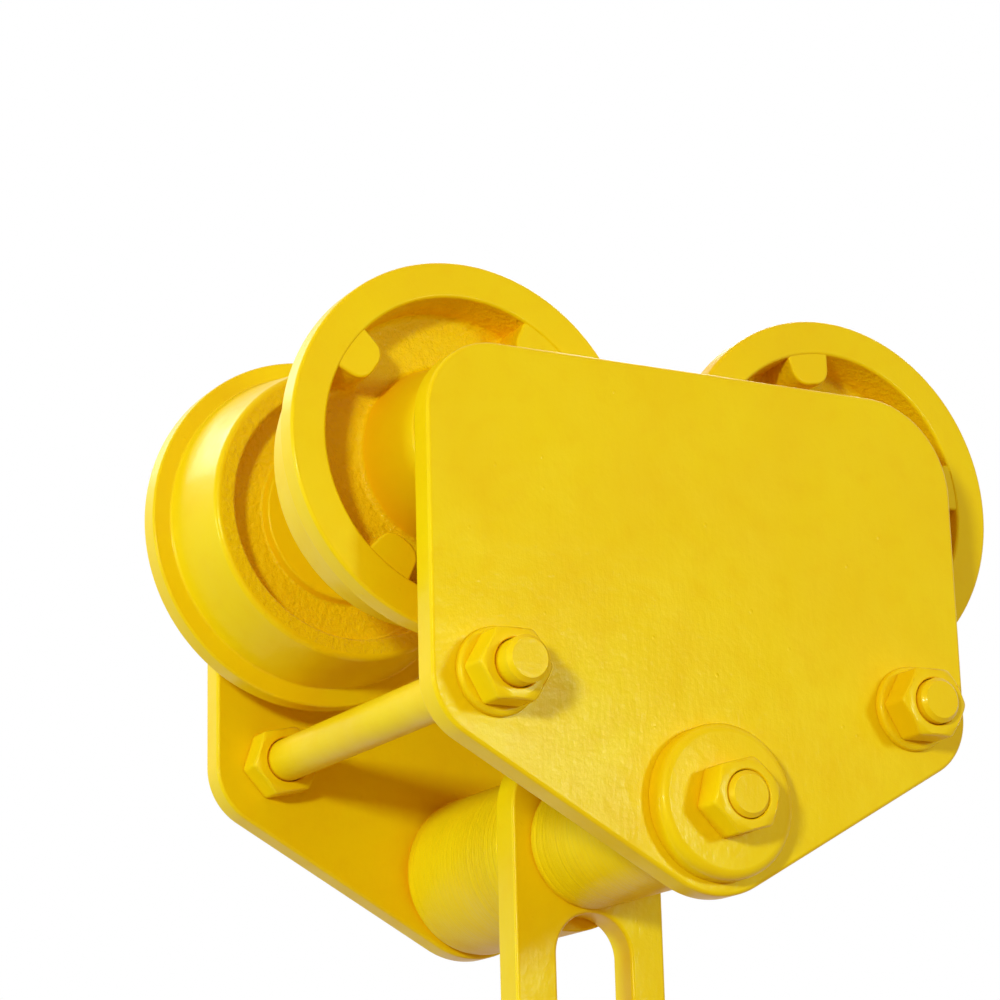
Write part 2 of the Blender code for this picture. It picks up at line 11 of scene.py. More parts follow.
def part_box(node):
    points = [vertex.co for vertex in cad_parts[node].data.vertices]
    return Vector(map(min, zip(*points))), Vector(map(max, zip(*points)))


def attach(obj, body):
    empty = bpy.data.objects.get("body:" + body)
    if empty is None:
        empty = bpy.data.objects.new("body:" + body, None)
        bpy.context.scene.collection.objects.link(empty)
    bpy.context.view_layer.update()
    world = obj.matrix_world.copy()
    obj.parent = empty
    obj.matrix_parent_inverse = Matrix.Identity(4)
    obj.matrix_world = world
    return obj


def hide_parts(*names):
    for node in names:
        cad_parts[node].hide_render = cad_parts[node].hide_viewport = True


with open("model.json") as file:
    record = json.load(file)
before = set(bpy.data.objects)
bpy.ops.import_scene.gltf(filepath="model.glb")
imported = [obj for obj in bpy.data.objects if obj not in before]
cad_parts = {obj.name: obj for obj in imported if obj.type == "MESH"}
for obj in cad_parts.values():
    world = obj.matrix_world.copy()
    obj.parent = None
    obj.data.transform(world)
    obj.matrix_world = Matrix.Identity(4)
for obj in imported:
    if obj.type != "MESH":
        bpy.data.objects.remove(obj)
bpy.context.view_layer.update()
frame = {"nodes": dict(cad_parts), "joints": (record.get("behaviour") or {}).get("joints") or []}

MM = 0.001
SIDES = {"near": -1, "far": 1}
ENDS = {"left": -1, "right": 1}

# Places and sizes that come from the frame
UPRIGHT = Matrix.Rotation(math.radians(90), 4, "X")
AXES = {joint["name"]: joint["pos_m"] for joint in frame["joints"]}
SHAFT_Z = AXES["hanger_swing"][2]
WHEEL_Z = AXES["wheel_near_left_spin"][2]
TREAD_RADIUS = WHEEL_Z
PLATE_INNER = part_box("side_plate_far")[0].y

# Shapes that the boxes of the solids don't give
GAP = 0.3 * MM
PLATE_EDGE = 1.6 * MM
KNEE_RISE = 27 * MM
KNEE_RADIUS = 26 * MM
TIP_RADIUS = 35 * MM
LEFT_CORNER_RADIUS = 30 * MM
RIGHT_CORNER_RADIUS = 38 * MM

WHEEL_SETBACK = 19 * MM
FLANGE_THICKNESS = 12 * MM
FLANGE_HEIGHT = 7.5 * MM
FLANGE_TAPER = 1.5 * MM
TREAD_WIDTH = 34 * MM
TREAD_DROP = 5.5 * MM
RIM_WALL = 7 * MM
RIM_END_WALL = 8.5 * MM
RECESS_DEPTH = 20 * MM
RECESS_DRAFT = 1.5 * MM
RECESS_FILLET = 3 * MM
WEB_THICKNESS = 14 * MM
HUB_END_RADIUS = 31 * MM
HUB_ROOT_RADIUS = 37 * MM
HUB_END_GAP = 6 * MM
HUB_BORE = 26.3 * MM
BEARING_FACE = 9.4 * MM
COVER_END = 57 * MM
EDGE = 1.4 * MM
LUG_COUNT = 4
LUG_WIDTH = 21 * MM
LUG_TIP_WIDTH = 16 * MM
LUG_CORNER_RADIUS = 7 * MM
LUG_REACH = 13 * MM
LUG_ROOT = 2 * MM
LUG_SETBACK = 0.6 * MM
LUG_EDGE = 1.2 * MM
LUG_FLARE = 3 * MM
WHEEL_TURNS = {"near_left": 35, "near_right": 80, "far_left": 20, "far_right": 72}

AXLE_RADIUS = 12.5 * MM
AXLE_COLLAR_RADIUS = 19 * MM

ROD_END_CHAMFER = 1.6 * MM
NUT_SIDES = 6
NUT_WIDTH = 27 * MM
NUT_CORNER_RADIUS = 2.2 * MM
NUT_EDGE = 1.5 * MM
NUT_FACE_SHARE = 0.95
NUT_SEAT_SHARE = 0.98
NUT_CHAMFER_ANGLE = 30
OUTER_NUT_TURN = 30
INNER_NUT_TURN = 42
SHAFT_NUT_TURN = 45
THREAD_RADIUS = 9 * MM
THREAD_GAP = 0.4 * MM
WASHER_EDGE = 2 * MM
COLLAR_EDGE = 4 * MM
SHAFT_RADIUS = 14 * MM
SHAFT_SHOULDER_SETBACK = 1 * MM
SLEEVE_END_EDGE = {"near": 1 * MM, "far": 6 * MM}

SLOT_WIDTH = 34.5 * MM
SLOT_OFFSET = 1.5 * MM
SLOT_NECK = 14 * MM
SLOT_BRIDGE = 22 * MM
HANGER_EDGE = 1.6 * MM

# Smoothness: steps to a turn, degrees to a step of an arc, and the angle from which an edge stays sharp
ROUND_STEPS = 144
SMALL_STEPS = 96
FILLET_STEP = 18
OUTLINE_STEP = 3
EDGE_SEGMENTS = 3
SHARP_ANGLE = 40
MERGE_DISTANCE = 1e-6

# Enamel: colours, then the scale of each noise per metre, and the height and strength of its relief
ENAMEL = (0.86, 0.57, 0.002)
ENAMEL_WARM = (0.84, 0.51, 0.002)
# Painted shade: a deeper orange mixed into occluded corners and recesses, standing in for their shade and bounce
# light
ENAMEL_PAINTED_SHADE = (0.96, 0.44, 0.001)
ENAMEL_PALE = (0.88, 0.63, 0.002)
# Reach, occlusion range and share of the painted shade in corners and recesses
PAINTED_SHADE_REACH = 40 * MM
PAINTED_SHADE_RANGE = (0.05, 0.45)
PAINTED_SHADE_SHARE = 0.8
PATCH_SCALE = 18
MOTTLE_SCALE = 120
MOTTLE_RANGE = (0.5, 0.8)
MOTTLE_SHARE = 0.3
WAVE_SCALE = 95
WAVE_HEIGHT = 0.25 * MM
WAVE_STRENGTH = 0.6
PEEL_SCALE = 420
PEEL_HEIGHT = 0.1 * MM
PEEL_STRENGTH = 0.8
RUN_SCALE = 380
RUN_STRETCH = (1, 0.2, 1)
RUN_HEIGHT = 0.12 * MM
RUN_STRENGTH = 0.5
NIB_SCALE = 75
NIB_RANGE = (0.02, 0.07)
NIB_HEIGHT = 0.18 * MM
NIB_STRENGTH = 0.5
GRAIN_SCALE = 380
GRAIN_RANGE = (0.35, 0.7)
GRAIN_HEIGHT = 0.5 * MM
TURNING_SCALE = 320
TURNING_NOISE = (4, 0.65)
TURNING_HEIGHT = 2.4 * MM
TURNING_FADE = (16 * MM, 40 * MM)
TURNING_LEFT = 0.3
GLOSS_SCALE = 60
GLOSS_SPREAD = 0.14
SPECULAR_LEVEL = 0.35
SPECULAR_TINT = (1, 0.95, 0.15, 1)
COAT_ROUGHNESS = 0.12
NOISE_RANGE = (0.3, 0.7)
FINE_NOISE = (4, 0.6)

# Bare steel: colours, film of oil and fine grain
STEEL_TURNED = (0.50, 0.50, 0.50)
STEEL_GROUND = (0.42, 0.43, 0.45)
STEEL_SPRING = (0.10, 0.10, 0.11)
FILM_SCALE = 90
FILM_RANGE = (0.35, 0.7)
FILM_SHARE = 0.6
FILM_DARKNESS = 0.55
STEEL_GLOSS_SCALE = 300
STEEL_GLOSS_RANGE = (0.8, 1.3)
STEEL_GRAIN_SCALE = 1500
STEEL_GRAIN_HEIGHT = 0.02 * MM
STEEL_GRAIN_STRENGTH = 0.4

# Camera, floor and light
CAMERA_PLACE = (-0.6126, -1.0583, -0.2647)
CAMERA_YAW = 28.73
CAMERA_PITCH = 15.59
CAMERA_ROLL = -1.48
CAMERA_LENS = 108.4
CAMERA_CLIP_START = 0.05
WHITE = (1, 1, 1, 1)
BACKGROUND_RAYS = ("Is Camera Ray", "Is Glossy Ray", "Is Transmission Ray")
FLOOR_Z = -1.6
FLOOR_SIZE = 12
FLOOR_COLOUR = (0.45, 0.44, 0.43)
FLOOR_BOUNCE = (0.47, 0.35, 0.2)
FLOOR_ROUGHNESS = 0.9
FLOOR_WHITE_SHARE = 0.82
FLOOR_FADE_START = 0.8
WORLD_FILL = 0.5
FILL_COLOUR = (1, 0.62, 0.32, 1)
# Name, azimuth, elevation, distance, width, power and colour of each lamp
LAMPS = [
    ("key", -46, 5, 2.2, 0.22, 25, (0.86, 1, 0.9)),
    ("left", -100, 0, 2.2, 0.4, 17.5, (0.55, 1, 0.85)),
    ("front_right", 24, 6.5, 2.2, 0.27, 11, (0.65, 1, 0.75)),
    ("back_left", -150, 38, 2.4, 1, 20, (1, 1, 1)),
    ("back_right", 140, 38, 2.4, 1, 23, (1, 1, 1)),
]


def rounded(corners, step, closed=True):
    """A path through corners (x, y, radius), with an arc at each corner that has a radius."""
    points = []
    for i, (x, y, radius) in enumerate(corners):
        if radius == 0 or (not closed and i in (0, len(corners) - 1)):
            points.append((x, y))
            continue
        before = corners[i - 1]
        after = corners[(i + 1) % len(corners)]
        back = math.atan2(before[1] - y, before[0] - x)
        ahead = math.atan2(after[1] - y, after[0] - x)
        opening = (ahead - back + math.pi) % (2 * math.pi) - math.pi
        middle = back + opening / 2
        reach = radius / math.sin(abs(opening) / 2)
        centre = (x + reach * math.cos(middle), y + reach * math.sin(middle))
        turn = math.copysign(math.pi - abs(opening), opening)
        count = max(1, math.ceil(abs(math.degrees(turn)) / step))
        start = middle + math.pi + turn / 2
        for k in range(count + 1):
            angle = start - turn * k / count
            points.append((centre[0] + radius * math.cos(angle), centre[1] + radius * math.sin(angle)))
    return points


def finished(name, mesh, material, place, body, nodes):
    """Makes an object of a mesh, smooth where it is round, and lets it stand for its CAD nodes."""
    mesh.name = name
    mesh.shade_smooth()
    mesh.set_sharp_from_angle(angle=math.radians(SHARP_ANGLE))
    if not mesh.materials:
        mesh.materials.append(material)
    piece = bpy.data.objects.new(name, mesh)
    bpy.context.scene.collection.objects.link(piece)
    piece.matrix_world = place
    normals = piece.modifiers.new("Even normals", "WEIGHTED_NORMAL")
    normals.keep_sharp = True
    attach(piece, body)
    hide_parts(*nodes)
    return piece


def across(x, y, z, outwards=1):
    """A frame at (x, y, z) whose local Z runs along +Y, or along -Y where outwards is -1."""
    return Matrix.Translation((x, y, z)) @ Matrix.Rotation(math.radians(-90 * outwards), 4, "X")


def lathe_mesh(corners, steps=ROUND_STEPS):
    """Corners (radius, height, rounding) turned about local Z. A path that doesn't end on the axis makes a ring."""
    ring = corners[0][0] > 0
    path = rounded(corners, FILLET_STEP, closed=ring)
    mesh = bpy.data.meshes.new("lathe")
    shape = bmesh.new()
    verts = [shape.verts.new((radius, 0, height)) for radius, height in path]
    edges = [shape.edges.new(pair) for pair in zip(verts, verts[1:])]
    if ring:
        edges.append(shape.edges.new((verts[-1], verts[0])))
    bmesh.ops.spin(
        shape, geom=verts + edges, cent=(0, 0, 0), axis=(0, 0, 1), angle=math.tau, steps=steps, use_merge=True
    )
    bmesh.ops.remove_doubles(shape, verts=shape.verts, dist=MERGE_DISTANCE)
    bmesh.ops.recalc_face_normals(shape, faces=shape.faces)
    shape.to_mesh(mesh)
    shape.free()
    return mesh


def slab_mesh(outlines, thickness, edge):
    """Flat outlines, the later ones holes, with rounded edges and the thickness centred on local Z."""
    curve = bpy.data.curves.new("slab", "CURVE")
    curve.dimensions = "2D"
    curve.fill_mode = "BOTH"
    curve.extrude = thickness / 2 - edge
    curve.bevel_depth = edge
    curve.bevel_resolution = EDGE_SEGMENTS
    curve.offset = -edge
    for outline in outlines:
        spline = curve.splines.new("POLY")
        spline.points.add(len(outline) - 1)
        for point, (x, y) in zip(spline.points, outline):
            point.co = (x, y, 0, 1)
        spline.use_cyclic_u = True
    flat = bpy.data.objects.new("slab", curve)
    bpy.context.scene.collection.objects.link(flat)
    bpy.context.view_layer.update()
    mesh = bpy.data.meshes.new_from_object(flat.evaluated_get(bpy.context.evaluated_depsgraph_get()))
    bpy.data.objects.remove(flat)
    shape = bmesh.new()
    shape.from_mesh(mesh)
    bmesh.ops.remove_doubles(shape, verts=shape.verts, dist=MERGE_DISTANCE)
    bmesh.ops.recalc_face_normals(shape, faces=shape.faces)
    shape.to_mesh(mesh)
    shape.free()
    return mesh


def add_loft(shape, rings, capped):
    """Faces between rings of as many points each. They close on themselves, or have a cap at each end."""
    verts = [[shape.verts.new(point) for point in ring] for ring in rings]
    count = len(rings[0])
    pairs = list(zip(verts, verts[1:]))
    if capped:
        shape.faces.new(reversed(verts[0]))
        shape.faces.new(verts[-1])
    else:
        pairs.append((verts[-1], verts[0]))
    for low, high in pairs:
        for k in range(count):
            after = (k + 1) % count
            shape.faces.new((low[k], low[after], high[after], high[k]))


def plate_outline(half, top):
    """The five-cornered plate about the load shaft's axis. Its two slopes touch the round tip."""
    reach = math.hypot(half, KNEE_RISE)
    slope = math.atan2(KNEE_RISE, half) + math.asin(TIP_RADIUS / reach)
    corners = [
        (half, top, RIGHT_CORNER_RADIUS),
        (-half, top, LEFT_CORNER_RADIUS),
        (-half, KNEE_RISE, KNEE_RADIUS),
        (0, -TIP_RADIUS / math.cos(slope), TIP_RADIUS),
        (half, KNEE_RISE, KNEE_RADIUS),
    ]
    return rounded(corners, OUTLINE_STEP)


def make_side_plate(side, material):
    node = f"side_plate_{side}"
    low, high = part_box(node)
    outline = plate_outline(high.x, high.z - SHAFT_Z)
    place = Matrix.Translation((0, (low.y + high.y) / 2, SHAFT_Z)) @ UPRIGHT
    mesh = slab_mesh([outline], high.y - low.y, PLATE_EDGE)
    finished(f"plate_{side}", mesh, material, place, "frame", [node])


def wheel_corners():
    """The wheel casting's section, with heights measured from the plate's inner face."""
    flange_face = WHEEL_SETBACK
    flange_back = flange_face + FLANGE_THICKNESS
    tread_end = flange_back + TREAD_WIDTH
    tread_end_radius = TREAD_RADIUS - TREAD_DROP
    rim_inner = TREAD_RADIUS - RIM_WALL
    floor = flange_face + RECESS_DEPTH
    back_floor = floor + WEB_THICKNESS
    rim_inner_end = tread_end_radius - RIM_END_WALL
    return [
        (0, COVER_END, 0),
        (HUB_ROOT_RADIUS - EDGE, COVER_END, EDGE),
        (HUB_ROOT_RADIUS, back_floor, RECESS_FILLET / 2),
        (rim_inner_end - RECESS_DRAFT, back_floor, RECESS_FILLET / 2),
        (rim_inner_end, tread_end, EDGE),
        (tread_end_radius, tread_end, 2 * EDGE),
        (TREAD_RADIUS, flange_back, EDGE),
        (TREAD_RADIUS + FLANGE_HEIGHT, flange_back - FLANGE_TAPER, EDGE),
        (TREAD_RADIUS + FLANGE_HEIGHT, flange_face, EDGE),
        (rim_inner, flange_face, EDGE),
        (rim_inner - RECESS_DRAFT, floor, RECESS_FILLET),
        (HUB_ROOT_RADIUS, floor, RECESS_FILLET),
        (HUB_END_RADIUS, HUB_END_GAP, EDGE),
        (HUB_BORE, HUB_END_GAP, EDGE / 2),
        (HUB_BORE, BEARING_FACE, 0),
        (0, BEARING_FACE, 0),
    ]


def lug_ring(grow, height):
    """The tapered outline of a lug at one height, grown by a little where the lug flares or shrinks."""
    half = LUG_WIDTH / 2 + grow
    tip_half = LUG_TIP_WIDTH / 2 + grow
    root = TREAD_RADIUS - RIM_WALL + LUG_ROOT
    tip = root - LUG_ROOT - LUG_REACH - grow
    nose = LUG_CORNER_RADIUS + grow
    corners = [(root, -half, 0), (root, half, 0), (tip, tip_half, nose), (tip, -tip_half, nose)]
    return [(x, y, height) for x, y in rounded(corners, FILLET_STEP)]


def lug_rings():
    """A lug with a rounded nose and face edge, spreading into the floor of the recess."""
    face = WHEEL_SETBACK + LUG_SETBACK
    floor = WHEEL_SETBACK + RECESS_DEPTH
    quarter = [math.radians(90 * k / EDGE_SEGMENTS) for k in range(EDGE_SEGMENTS + 1)]
    rings = [lug_ring(LUG_EDGE * (math.sin(a) - 1), face + LUG_EDGE * (1 - math.cos(a))) for a in quarter]
    rings += [lug_ring(LUG_FLARE * (1 - math.cos(a)), floor - LUG_FLARE * (1 - math.sin(a))) for a in quarter]
    return rings + [lug_ring(LUG_FLARE, floor + LUG_EDGE)]


def make_wheel(side, end, turned, cast):
    station = f"{side}_{end}"
    mesh = lathe_mesh(wheel_corners())
    shape = bmesh.new()
    shape.from_mesh(mesh)
    for k in range(LUG_COUNT):
        before = set(shape.verts)
        add_loft(shape, lug_rings(), capped=True)
        lug = [vert for vert in shape.verts if vert not in before]
        turn = math.radians(WHEEL_TURNS[station]) + math.tau * k / LUG_COUNT
        bmesh.ops.rotate(shape, verts=lug, cent=(0, 0, 0), matrix=Matrix.Rotation(turn, 3, "Z"))
    bmesh.ops.recalc_face_normals(shape, faces=shape.faces)
    mesh.materials.append(turned)
    mesh.materials.append(cast)
    outer_rim = TREAD_RADIUS - RIM_WALL - EDGE / 2
    for face in shape.faces:
        centre = face.calc_center_median()
        radius = math.hypot(centre.x, centre.y)
        sunk = centre.z > WHEEL_SETBACK + LUG_SETBACK + LUG_EDGE
        face.material_index = int(sunk and HUB_ROOT_RADIUS < radius < outer_rim)
    shape.to_mesh(mesh)
    shape.free()
    node = f"wheel_{station}"
    place = station_place(side, end)
    finished(f"casting_{station}", mesh, turned, place, f"{node}_body", [node])


def station_place(side, end):
    """A frame on a wheel's axis, on the plate's inner face, with local Z towards the beam's web."""
    sign = SIDES[side]
    low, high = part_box(f"axle_{side}_{end}")
    return across((low.x + high.x) / 2, sign * PLATE_INNER, WHEEL_Z, -sign)


def make_axle(side, end, material):
    station = f"{side}_{end}"
    corners = [
        (0, BEARING_FACE - GAP, 0),
        (AXLE_RADIUS, BEARING_FACE - GAP, EDGE / 2),
        (AXLE_COLLAR_RADIUS, BEARING_FACE - GAP, EDGE / 2),
        (AXLE_COLLAR_RADIUS, GAP, 0),
        (0, GAP, 0),
    ]
    node = f"axle_{station}"
    place = station_place(side, end)
    mesh = lathe_mesh(corners, SMALL_STEPS)
    finished(f"axle_collar_{station}", mesh, material, place, "frame", [node])


def hexagon(width, corner):
    """Points round a hexagon with slightly rounded corners, several to each flat."""
    radius = width / math.sqrt(3)
    corners = []
    for k in range(NUT_SIDES):
        angle = math.tau * (1 / 4 + k / NUT_SIDES)
        corners.append((radius * math.cos(angle), radius * math.sin(angle), corner))
    path = rounded(corners, FILLET_STEP)
    points = []
    for (x, y), (to_x, to_y) in zip(path, path[1:] + path[:1]):
        count = max(1, round(math.hypot(to_x - x, to_y - y) / NUT_EDGE))
        for k in range(count):
            points.append((x + (to_x - x) * k / count, y + (to_y - y) * k / count))
    return points


def nut_mesh(height, bore):
    """A nut with a chamfered outer face, a countersunk bore and its seat at local z = 0."""
    outline = hexagon(NUT_WIDTH, NUT_CORNER_RADIUS)
    face = NUT_FACE_SHARE * NUT_WIDTH / 2
    slope = math.tan(math.radians(NUT_CHAMFER_ANGLE))

    def circle(radius, z):
        return [(x * radius / math.hypot(x, y), y * radius / math.hypot(x, y), z) for x, y in outline]

    def edge(inset, drop):
        share = 1 - inset / (NUT_WIDTH / 2)
        points = [(x * share, y * share) for x, y in outline]
        return [(x, y, height - drop - (math.hypot(x, y) - face) * slope) for x, y in points]

    rings = [
        circle(bore, 0),
        circle(bore, height - NUT_EDGE / 3),
        circle(bore + NUT_EDGE / 3, height),
        circle(face - NUT_EDGE, height),
        circle(face, height - NUT_EDGE / 8),
        edge(NUT_EDGE / 2, 0),
        edge(NUT_EDGE / 8, NUT_EDGE / 6),
        edge(0, NUT_EDGE / 2),
        [(x, y, NUT_EDGE / 2) for x, y in outline],
        [(x * NUT_SEAT_SHARE, y * NUT_SEAT_SHARE, 0) for x, y in outline],
    ]
    mesh = bpy.data.meshes.new("nut")
    shape = bmesh.new()
    add_loft(shape, rings, capped=False)
    bmesh.ops.recalc_face_normals(shape, faces=shape.faces)
    shape.to_mesh(mesh)
    shape.free()
    return mesh


def make_nut(node, outwards, turn, material):
    low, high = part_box(node)
    x, z = (low.x + high.x) / 2, (low.z + high.z) / 2
    seat = low.y if outwards > 0 else high.y
    place = across(x, seat, z, outwards) @ Matrix.Rotation(math.radians(turn), 4, "Z")
    mesh = nut_mesh(high.y - low.y, THREAD_RADIUS + THREAD_GAP)
    finished(f"{node}_painted", mesh, material, place, "frame", [node])


def make_ring(name, node, outwards, inner, edge, material):
    """A washer or collar over its CAD node, with its outer edge rounded."""
    low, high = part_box(node)
    seat = low.y if outwards > 0 else high.y
    radius = (high.x - low.x) / 2
    height = high.y - low.y
    corners = [(inner, 0, 0), (inner, height, EDGE / 2), (radius, height, edge), (radius, 0, 0)]
    place = across((low.x + high.x) / 2, seat, (low.z + high.z) / 2, outwards)
    finished(name, lathe_mesh(corners), material, place, "frame", [node])


def make_rod(node, material, shoulder=None):
    """A round bar over its CAD node, with chamfered ends. Beyond the shoulder it narrows to its thread."""
    low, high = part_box(node)
    radius = (high.x - low.x) / 2
    half = (high.y - low.y) / 2
    end_radius = THREAD_RADIUS if shoulder else radius
    upper = [(0, half, 0), (end_radius - ROD_END_CHAMFER, half, 0), (end_radius, half - ROD_END_CHAMFER, 0)]
    if shoulder:
        upper += [(end_radius, shoulder, 0), (radius, shoulder, 0)]
    corners = upper + [(r, -h, edge) for r, h, edge in reversed(upper)]
    place = across((low.x + high.x) / 2, (low.y + high.y) / 2, (low.z + high.z) / 2)
    finished(f"{node}_painted", lathe_mesh(corners, SMALL_STEPS), material, place, "frame", [node])


def make_sleeve(side, material):
    node = f"spacer_sleeve_{side}"
    low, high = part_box(node)
    sign = SIDES[side]
    length = high.y - low.y
    radius = (high.x - low.x) / 2
    inner = SHAFT_RADIUS + GAP
    corners = [
        (inner, 0, 0),
        (inner, length, 0),
        (radius, length, SLEEVE_END_EDGE[side]),
        (radius, 0, EDGE / 2),
    ]
    place = across(0, low.y if sign > 0 else high.y, SHAFT_Z, sign)
    finished(f"sleeve_{side}", lathe_mesh(corners), material, place, "frame", [node])


def stadium(half_width, top, bottom, offset=0):
    """An upright slot or strap with half-round ends, shifted sideways by the offset."""
    corners = [(half_width, top), (-half_width, top), (-half_width, bottom), (half_width, bottom)]
    return rounded([(x + offset, y, half_width) for x, y in corners], OUTLINE_STEP)


def make_hanger(material):
    low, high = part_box("hanger")
    top, bottom = high.z - SHAFT_Z, low.z - SHAFT_Z
    bore = SHAFT_RADIUS + GAP
    outlines = [
        stadium(high.x, top, bottom),
        stadium(SLOT_WIDTH / 2, -bore - SLOT_NECK, bottom + SLOT_BRIDGE, SLOT_OFFSET),
        stadium(bore, bore, -bore),
    ]
    mesh = slab_mesh(outlines, high.y - low.y, HANGER_EDGE)
    place = Matrix.Translation((0, (low.y + high.y) / 2, SHAFT_Z)) @ UPRIGHT
    finished("hanger_painted", mesh, material, place, "hanger_body", ["hanger"])


class Nodes:
    """A small helper that adds nodes to a material and links them."""

    def __init__(self, name):
        self.material = bpy.data.materials.new(name)
        self.material.use_nodes = True
        self.tree = self.material.node_tree
        self.shader = self.tree.nodes["Principled BSDF"]

    def add(self, kind, values=(), **settings):
        node = self.tree.nodes.new(kind)
        for key, value in settings.items():
            setattr(node, key, value)
        for socket, value in dict(values).items():
            if isinstance(value, bpy.types.NodeSocket):
                self.tree.links.new(value, node.inputs[socket])
            else:
                node.inputs[socket].default_value = value
        return node

    def noise(self, coordinates, scale, detail=2, roughness=0.5):
        values = {"Vector": coordinates, "Scale": scale, "Detail": detail, "Roughness": roughness}
        return self.add("ShaderNodeTexNoise", values).outputs["Fac"]

    def between(self, value, low, high, to_low=0.0, to_high=1.0):
        values = {"Value": value, "From Min": low, "From Max": high, "To Min": to_low, "To Max": to_high}
        return self.add("ShaderNodeMapRange", values).outputs["Result"]

    def mix(self, share, first, second):
        node = self.add("ShaderNodeMix", data_type="RGBA")
        for socket, value in ((0, share), (6, first), (7, second)):
            if isinstance(value, bpy.types.NodeSocket):
                self.tree.links.new(value, node.inputs[socket])
            else:
                node.inputs[socket].default_value = value if socket == 0 else (*value, 1)
        return node.outputs[2]

    def bump(self, height, distance, strength=1.0, normal=None):
        values = {"Height": height, "Distance": distance, "Strength": strength}
        if normal:
            values["Normal"] = normal
        return self.add("ShaderNodeBump", values).outputs["Normal"]

    def link(self, output, socket):
        self.tree.links.new(output, self.shader.inputs[socket])


def enamel_colour(nodes, place):
    """Pale and warm patches at random, and painted shade: a deeper orange where ambient occlusion finds corners and
    recesses.
    """
    patches = nodes.between(nodes.noise(place, PATCH_SCALE, 3), *NOISE_RANGE)
    colour = nodes.mix(patches, ENAMEL, ENAMEL_PALE)
    mottle = nodes.between(nodes.noise(place, MOTTLE_SCALE), *MOTTLE_RANGE, 0, MOTTLE_SHARE)
    colour = nodes.mix(mottle, colour, ENAMEL_WARM)
    # Painted shade: ambient occlusion mixes the deeper orange into corners, creases and recesses
    painted_shade_ao = nodes.add("ShaderNodeAmbientOcclusion", {"Distance": PAINTED_SHADE_REACH}, samples=4).outputs["AO"]
    return nodes.mix(nodes.between(painted_shade_ao, *PAINTED_SHADE_RANGE, PAINTED_SHADE_SHARE, 0), colour, ENAMEL_PAINTED_SHADE)


def enamel_relief(nodes, place, peel):
    """Long waves, fine orange peel, upright runs and a few nibs of dust."""
    normal = nodes.bump(nodes.noise(place, WAVE_SCALE), WAVE_HEIGHT, WAVE_STRENGTH * peel)
    fine = nodes.noise(place, PEEL_SCALE, *FINE_NOISE)
    normal = nodes.bump(fine, PEEL_HEIGHT, PEEL_STRENGTH * peel, normal)
    upright = nodes.add("ShaderNodeMapping", {"Vector": place, "Scale": RUN_STRETCH}).outputs["Vector"]
    runs = nodes.noise(upright, RUN_SCALE, *FINE_NOISE)
    normal = nodes.bump(runs, RUN_HEIGHT, RUN_STRENGTH * peel, normal)
    nibs = nodes.add("ShaderNodeTexVoronoi", {"Vector": place, "Scale": NIB_SCALE}).outputs["Distance"]
    return nodes.bump(nodes.between(nibs, *NIB_RANGE, 1, 0), NIB_HEIGHT, NIB_STRENGTH, normal)


def turning_marks(nodes, place):
    """The height of turning marks about local Z, deepest at the end of the sleeve next to the hanger."""
    axis = nodes.add("ShaderNodeSeparateXYZ", {"Vector": place}).outputs["Z"]
    line = nodes.add("ShaderNodeCombineXYZ", {"Z": axis}).outputs["Vector"]
    marks = nodes.noise(line, TURNING_SCALE, *TURNING_NOISE)
    fade = nodes.between(axis, *TURNING_FADE, 1, TURNING_LEFT)
    return nodes.add("ShaderNodeMath", {0: marks, 1: fade}, operation="MULTIPLY").outputs[0]


def enamel(name, peel=1.0, grain=0.0, turning=0.0, coat=0.09, gloss=0.35):
    """Thick glossy yellow paint with orange peel, over a cast grain or over turning marks."""
    nodes = Nodes(name)
    place = nodes.add("ShaderNodeTexCoord").outputs["Object"]
    nodes.link(enamel_colour(nodes, place), "Base Color")
    normal = enamel_relief(nodes, place, peel)
    if grain:
        rough = nodes.between(nodes.noise(place, GRAIN_SCALE, *FINE_NOISE), *GRAIN_RANGE)
        normal = nodes.bump(rough, GRAIN_HEIGHT, grain, normal)
    if turning:
        normal = nodes.bump(turning_marks(nodes, place), TURNING_HEIGHT, turning, normal)
    nodes.link(normal, "Normal")
    nodes.link(normal, "Coat Normal")
    uneven = nodes.noise(place, GLOSS_SCALE, 3)
    nodes.link(nodes.between(uneven, *NOISE_RANGE, gloss, gloss + GLOSS_SPREAD), "Roughness")
    nodes.shader.inputs["Specular IOR Level"].default_value = SPECULAR_LEVEL
    nodes.shader.inputs["Specular Tint"].default_value = SPECULAR_TINT
    nodes.shader.inputs["Coat Weight"].default_value = coat
    nodes.shader.inputs["Coat Roughness"].default_value = COAT_ROUGHNESS
    return nodes.material


def steel(name, colour, roughness):
    """Bare steel with a fine grain and a thin film of oil."""
    nodes = Nodes(name)
    place = nodes.add("ShaderNodeTexCoord").outputs["Object"]
    film = nodes.between(nodes.noise(place, FILM_SCALE, 4), *FILM_RANGE, 0, FILM_SHARE)
    dark = tuple(FILM_DARKNESS * channel for channel in colour)
    nodes.link(nodes.mix(film, colour, dark), "Base Color")
    uneven = nodes.noise(place, STEEL_GLOSS_SCALE, 3)
    low, high = (roughness * share for share in STEEL_GLOSS_RANGE)
    nodes.link(nodes.between(uneven, *NOISE_RANGE, low, high), "Roughness")
    grain = nodes.noise(place, STEEL_GRAIN_SCALE)
    nodes.link(nodes.bump(grain, STEEL_GRAIN_HEIGHT, STEEL_GRAIN_STRENGTH), "Normal")
    nodes.shader.inputs["Metallic"].default_value = 1
    return nodes.material


def background_rays(tree):
    """An output that is 1 for the rays that see or mirror the background, and 0 for the others."""
    path = tree.nodes.new("ShaderNodeLightPath")
    seen = path.outputs[BACKGROUND_RAYS[0]]
    for kind in BACKGROUND_RAYS[1:]:
        either = tree.nodes.new("ShaderNodeMath")
        either.operation = "MAXIMUM"
        tree.links.new(seen, either.inputs[0])
        tree.links.new(path.outputs[kind], either.inputs[1])
        seen = either.outputs[0]
    return seen


